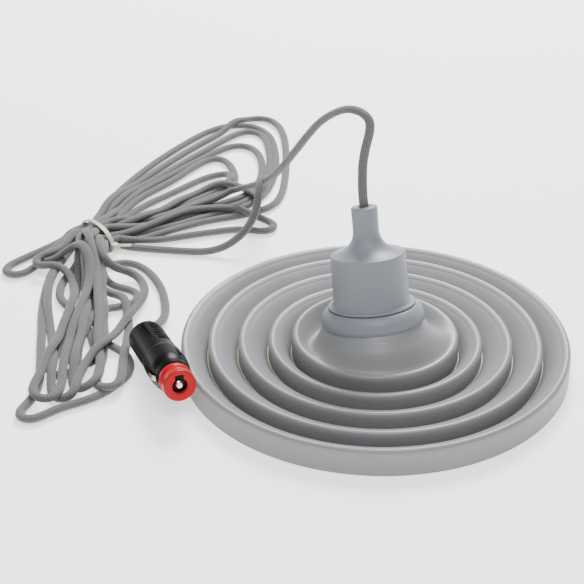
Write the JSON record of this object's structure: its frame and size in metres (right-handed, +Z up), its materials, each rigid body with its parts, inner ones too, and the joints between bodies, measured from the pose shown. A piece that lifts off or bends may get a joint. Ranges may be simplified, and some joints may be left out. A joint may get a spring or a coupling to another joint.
{
  "type": "collapsible hanging lamp",
  "caption": "Folding stepped silicone lamp shade with a screw lampholder, globe bulb, long braided cord in a tied hank, and a vehicle plug.",
  "frame": {"origin": "centre of the rim's base circle, on the table", "axes": "+Z up through the shade, +X to the right of the view, +Y away from the viewer, towards the cord's hank"},
  "size_m": [0.3852, 0.5052, 0.1616],
  "materials": {
    "silicone_grey": "satin",
    "silicone_cool_grey": "satin",
    "white_plastic": "satin",
    "nickel": "polished",
    "brass": "satin",
    "cord_braid": "matt",
    "tie_nylon": "satin",
    "black_plastic": "satin",
    "wire_insulation": "matt",
    "board": "satin",
    "phosphor": "matt",
    "opal_globe": "gloss",
    "fuse_glass": "gloss",
    "red_plastic": "gloss"
  },
  "bodies": {
    "base": {"shade_rim": "silicone_grey", "shade_web_1": "silicone_grey", "cord_riser": "cord_braid", "cord_loops_far": "cord_braid", "cord_loops_near": "cord_braid", "cord_tail": "cord_braid", "tie_band": "tie_nylon", "tie_head": "tie_nylon", "plug_strain_relief": "black_plastic", "plug_rear_shell": "black_plastic", "plug_front_shell": "black_plastic", "plug_screw": "nickel", "plug_barrel": "black_plastic", "plug_spring": "nickel"},
    "ring_2": {"shade_ring_2": "silicone_grey", "shade_web_2": "silicone_grey"},
    "ring_3": {"shade_ring_3": "silicone_grey", "shade_web_3": "silicone_grey"},
    "ring_4": {"shade_ring_4": "silicone_grey", "shade_web_4": "silicone_grey"},
    "head": {"shade_dome": "silicone_grey", "shade_collar": "silicone_cool_grey", "shade_nut": "silicone_cool_grey", "holder_sleeve": "silicone_cool_grey", "holder_body": "white_plastic", "thread_shell": "nickel", "holder_contact": "brass", "terminal_block": "white_plastic", "terminal_screws": "brass", "cord_grip": "white_plastic", "grip_screws": "nickel", "lead_wires": "wire_insulation"},
    "bulb": {"bulb_cap": "nickel", "bulb_insulator": "black_plastic", "bulb_tip": "nickel", "bulb_housing": "white_plastic", "led_board": "board", "led_chips": "phosphor", "bulb_globe": "opal_globe"},
    "tip": {"plug_tip": "nickel", "plug_fuse": "fuse_glass"},
    "leaf_left": {"plug_leaf_left": "nickel"},
    "leaf_right": {"plug_leaf_right": "nickel"},
    "adapter": {"plug_adapter": "red_plastic"}
  },
  "joints": [
    {"name": "head_lift", "type": "slide", "parent": "base", "child": "head", "axis": [0, 0, 1], "range_m": [0, 0.11], "deforming": ["shade_web_4", "cord_riser"]},
    {"name": "ring_2_lift", "type": "slide", "parent": "base", "child": "ring_2", "axis": [0, 0, 1], "range_m": [0, 0.0275], "deforming": ["shade_web_1"]},
    {"name": "ring_3_lift", "type": "slide", "parent": "ring_2", "child": "ring_3", "axis": [0, 0, 1], "range_m": [0, 0.0275], "deforming": ["shade_web_2"]},
    {"name": "ring_4_lift", "type": "slide", "parent": "ring_3", "child": "ring_4", "axis": [0, 0, 1], "range_m": [0, 0.0275], "deforming": ["shade_web_3"]},
    {"name": "bulb_screw", "type": "hinge", "parent": "head", "child": "bulb", "pos_m": [-0.0015, -0.0045, 0.0305], "axis": [-0.1053, 0.2364, 0.9659], "range_deg": [0, 1080]},
    {"name": "tip_press", "type": "slide", "parent": "base", "child": "tip", "axis": [-0.3938, 0.9058, -0.1564], "range_m": [0, 0.0025], "stiffness_N_per_m": 400, "springref_m": -0.003},
    {"name": "leaf_left_press", "type": "slide", "parent": "base", "child": "leaf_left", "axis": [0.9171, 0.3987, 0], "range_m": [0, 0.001], "stiffness_N_per_m": 600, "springref_m": -0.001},
    {"name": "leaf_right_press", "type": "slide", "parent": "base", "child": "leaf_right", "axis": [-0.9171, -0.3987, 0], "range_m": [0, 0.001], "stiffness_N_per_m": 600, "springref_m": -0.001},
    {"name": "adapter_pull", "type": "slide", "parent": "base", "child": "adapter", "axis": [0.3938, -0.9058, 0.1564], "range_m": [0, 0.015]}
  ],
  "couplings": [
    {"joint": "ring_2_lift", "follows": "head_lift", "ratio": 0.25},
    {"joint": "ring_3_lift", "follows": "head_lift", "ratio": 0.25},
    {"joint": "ring_4_lift", "follows": "head_lift", "ratio": 0.25}
  ]
}
